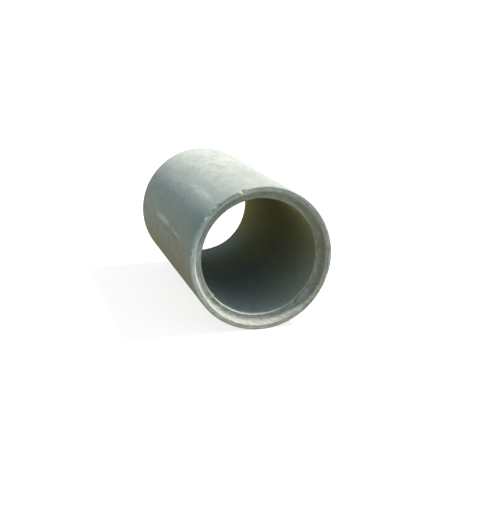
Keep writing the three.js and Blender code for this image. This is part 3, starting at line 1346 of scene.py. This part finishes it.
    def raise_relief(self, tree: bpy.types.NodeTree, place: bpy.types.NodeSocket) -> bpy.types.Node:
        """Makes the skin's relief: sand grain, a soft unevenness, and air holes too small to model.

        Args:
            tree: The material's nodes.
            place: The point of the surface.

        Returns:
            The node that gives the bumped normal.
        """
        cell = add_node(tree, "TexVoronoi", inputs={"Vector": place, "Scale": 1 / self.hole_spacing})
        chance = add_node(tree, "SeparateColor", inputs={"Color": cell.outputs["Color"]})
        sizes = {"From Min": 1 - self.hole_chance, "To Max": self.hole_size}
        size = add_node(tree, "MapRange", inputs={"Value": chance, **sizes})
        inside = add_node(tree, "Math", {"operation": "SUBTRACT"}, {0: size, 1: cell.outputs["Distance"]})
        holes = add_node(tree, "MapRange", inputs={"Value": inside, "From Max": self.hole_edge})
        sunk = {"Strength": self.hole_strength, "Distance": self.hole_depth, "Height": holes}
        normal = add_node(tree, "Bump", {"invert": True}, sunk)
        silt_and_shade = add_node(tree, "Attribute", {"attribute_name": Mark.SILT_AND_SHADE.value}).outputs["Fac"]
        for relief in self.relief:
            scale = {"Scale": 1 / relief.size, "Detail": self.noise_detail}
            swell = add_node(tree, "TexNoise", inputs={"Vector": place, **scale})
            strengths = {"To Min": relief.strength, "To Max": self.silted_relief * relief.strength}
            left = add_node(tree, "MapRange", inputs={"Value": silt_and_shade, **strengths})
            raised = {"Strength": left, "Distance": relief.height, "Height": swell, "Normal": normal}
            normal = add_node(tree, "Bump", inputs=raised)
        return normal

    def build(self) -> bpy.types.Material:
        """Makes the material.

        Returns:
            The material.
        """
        material = bpy.data.materials.new("cast_concrete")
        material.use_nodes = True
        tree = material.node_tree
        tree.nodes.clear()
        place = add_node(tree, "TexCoord").outputs["Object"]
        colour: Any = linear(self.paste)
        for patches in self.patches:
            colour = self.lay_patches(tree, place, colour, patches)
        for scuff in self.scuffs_and_shade:
            colour = self.lay_scuff(tree, place, colour, scuff)
        normal = self.raise_relief(tree, place)
        finish = {"Base Color": colour, "Roughness": self.roughness, "Normal": normal}
        shader = add_node(tree, "BsdfPrincipled", inputs=finish)
        add_node(tree, "OutputMaterial", inputs={"Surface": shader})
        return material


@dataclass(frozen=True)
class Lamp:
    """A lamp as far away as the sun.

    Attributes:
        name: What it is called.
        source: The direction that its light comes from.
        strength: Its strength, where pi lights a surface that faces it at the colour's own level.
        spread: The angle across it, in degrees, which softens its shadows.
        colour: Its colour.
    """

    name: str
    source: tuple[float, float, float]
    strength: float
    spread: float
    colour: str

    def hang(self) -> None:
        """Puts the lamp in the scene."""
        light = bpy.data.lights.new(self.name, "SUN")
        light.energy = self.strength
        light.angle = math.radians(self.spread)
        light.color = linear(self.colour)[:3]
        lamp = bpy.data.objects.new(self.name, light)
        lamp.rotation_euler = Vector(self.source).to_track_quat("Z", "Y").to_euler()
        bpy.context.scene.collection.objects.link(lamp)


@dataclass(frozen=True)
class Studio:
    """The pale floor, a key from the upper right, two weak cool lights near the camera, sky and camera."""

    lamps: tuple[Lamp, ...] = (
        Lamp("key", (0.585, -0.088, 0.806), 3.66, 4.0, "fff8ee"),
        Lamp("fill", (0.0, -0.96, 0.24), 0.24, 60.0, "dfeef8"),
        Lamp("glow", (0.6, -0.6, 0.5), 0.32, 60.0, "b0d8ff"),
    )
    sky_colour: str = "b6d6e8"
    sky_strength: float = 0.46
    ground_colour: str = "85816c"
    floor_size: float = 60.0
    sky_seen: float = 1.5
    floor_colour: str = "d2b9aa"
    floor_lift: float = 0.82
    camera_place: tuple[float, float, float] = (-1.2881, -4.5687, 1.5787)
    camera_forward: tuple[float, float, float] = (0.27529, 0.92140, -0.27430)
    camera_lens: float = 61.57
    camera_sensor: float = 36.0

    def seen_directly(self, tree: bpy.types.NodeTree) -> bpy.types.Node:
        """Tells what the camera sees, straight or in a reflection, from what only lights the pipe.

        Args:
            tree: The nodes of the floor or the sky.

        Returns:
            The node that gives 1 for the camera's own rays and 0 for the rest.
        """
        path = add_node(tree, "LightPath")
        larger = {"operation": "MAXIMUM"}
        bent = {0: path.outputs["Is Glossy Ray"], 1: path.outputs["Is Transmission Ray"]}
        straight_or_bent = {0: path.outputs["Is Camera Ray"], 1: add_node(tree, "Math", larger, bent)}
        return add_node(tree, "Math", larger, straight_or_bent)

    def add_floor(self) -> None:
        """Lays the floor: white to the camera but for the shadow, earth-coloured in the light it returns."""
        plane = bmesh.new()
        bmesh.ops.create_grid(plane, x_segments=1, y_segments=1, size=self.floor_size / 2)
        mesh = bpy.data.meshes.new("floor")
        plane.to_mesh(mesh)
        plane.free()
        material = bpy.data.materials.new("floor")
        material.use_nodes = True
        tree = material.node_tree
        tree.nodes.clear()
        lift = add_node(tree, "Emission", inputs={"Color": WHITE, "Strength": self.floor_lift})
        pale = add_node(tree, "BsdfDiffuse", inputs={"Color": linear(self.floor_colour)})
        seen = add_node(tree, "AddShader", inputs={0: lift, 1: pale})
        ground = add_node(tree, "BsdfDiffuse", inputs={"Color": linear(self.ground_colour)})
        surface = add_node(tree, "MixShader", inputs={0: self.seen_directly(tree), 1: ground, 2: seen})
        add_node(tree, "OutputMaterial", inputs={"Surface": surface})
        mesh.materials.append(material)
        floor = bpy.data.objects.new("floor", mesh)
        bpy.context.scene.collection.objects.link(floor)

    def add_sky(self) -> None:
        """Makes the world: white to the camera, and cool light on everything else."""
        world = bpy.data.worlds.new("sky")
        world.use_nodes = True
        tree = world.node_tree
        tree.nodes.clear()
        straight = add_node(tree, "LightPath").outputs["Is Camera Ray"]
        brighter = {0: straight, 1: self.sky_seen - 1, 2: 1.0}
        strength = add_node(tree, "Math", {"operation": "MULTIPLY_ADD"}, brighter)
        white = add_node(tree, "Background", inputs={"Color": WHITE, "Strength": strength})
        blue = {"Color": linear(self.sky_colour), "Strength": self.sky_strength}
        sky = add_node(tree, "Background", inputs=blue)
        surface = add_node(tree, "MixShader", inputs={0: self.seen_directly(tree), 1: sky, 2: white})
        add_node(tree, "OutputWorld", inputs={"Surface": surface})
        bpy.context.scene.world = world

    def add_camera(self) -> None:
        """Sets up the camera."""
        data = bpy.data.cameras.new("camera")
        data.lens = self.camera_lens
        data.sensor_width = self.camera_sensor
        camera = bpy.data.objects.new("camera", data)
        camera.location = self.camera_place
        camera.rotation_euler = Vector(self.camera_forward).to_track_quat("-Z", "Y").to_euler()
        bpy.context.scene.collection.objects.link(camera)
        bpy.context.scene.camera = camera

    def build(self) -> None:
        """Sets up everything round the pipe."""
        self.add_camera()
        self.add_floor()
        self.add_sky()
        for lamp in self.lamps:
            lamp.hang()
        bpy.context.scene.view_settings.view_transform = "Standard"


def main() -> None:
    """Builds the scene in order and reports each piece."""
    logging.basicConfig(level=logging.INFO, format="%(message)s")
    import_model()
    Studio().build()
    low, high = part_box("concrete_pipe")
    pipe = ConcretePipe(outer_radius=(high[2] - low[2]) / 2, length=high[1] - low[1])
    piece = pipe.build(CastConcrete(outer_radius=pipe.outer_radius).build())
    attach(piece, "root")
    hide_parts("concrete_pipe")
    LOG.info("%s: %d triangles", piece.name, sum(len(face.vertices) - 2 for face in piece.data.polygons))


if __name__ == "__main__":
    main()
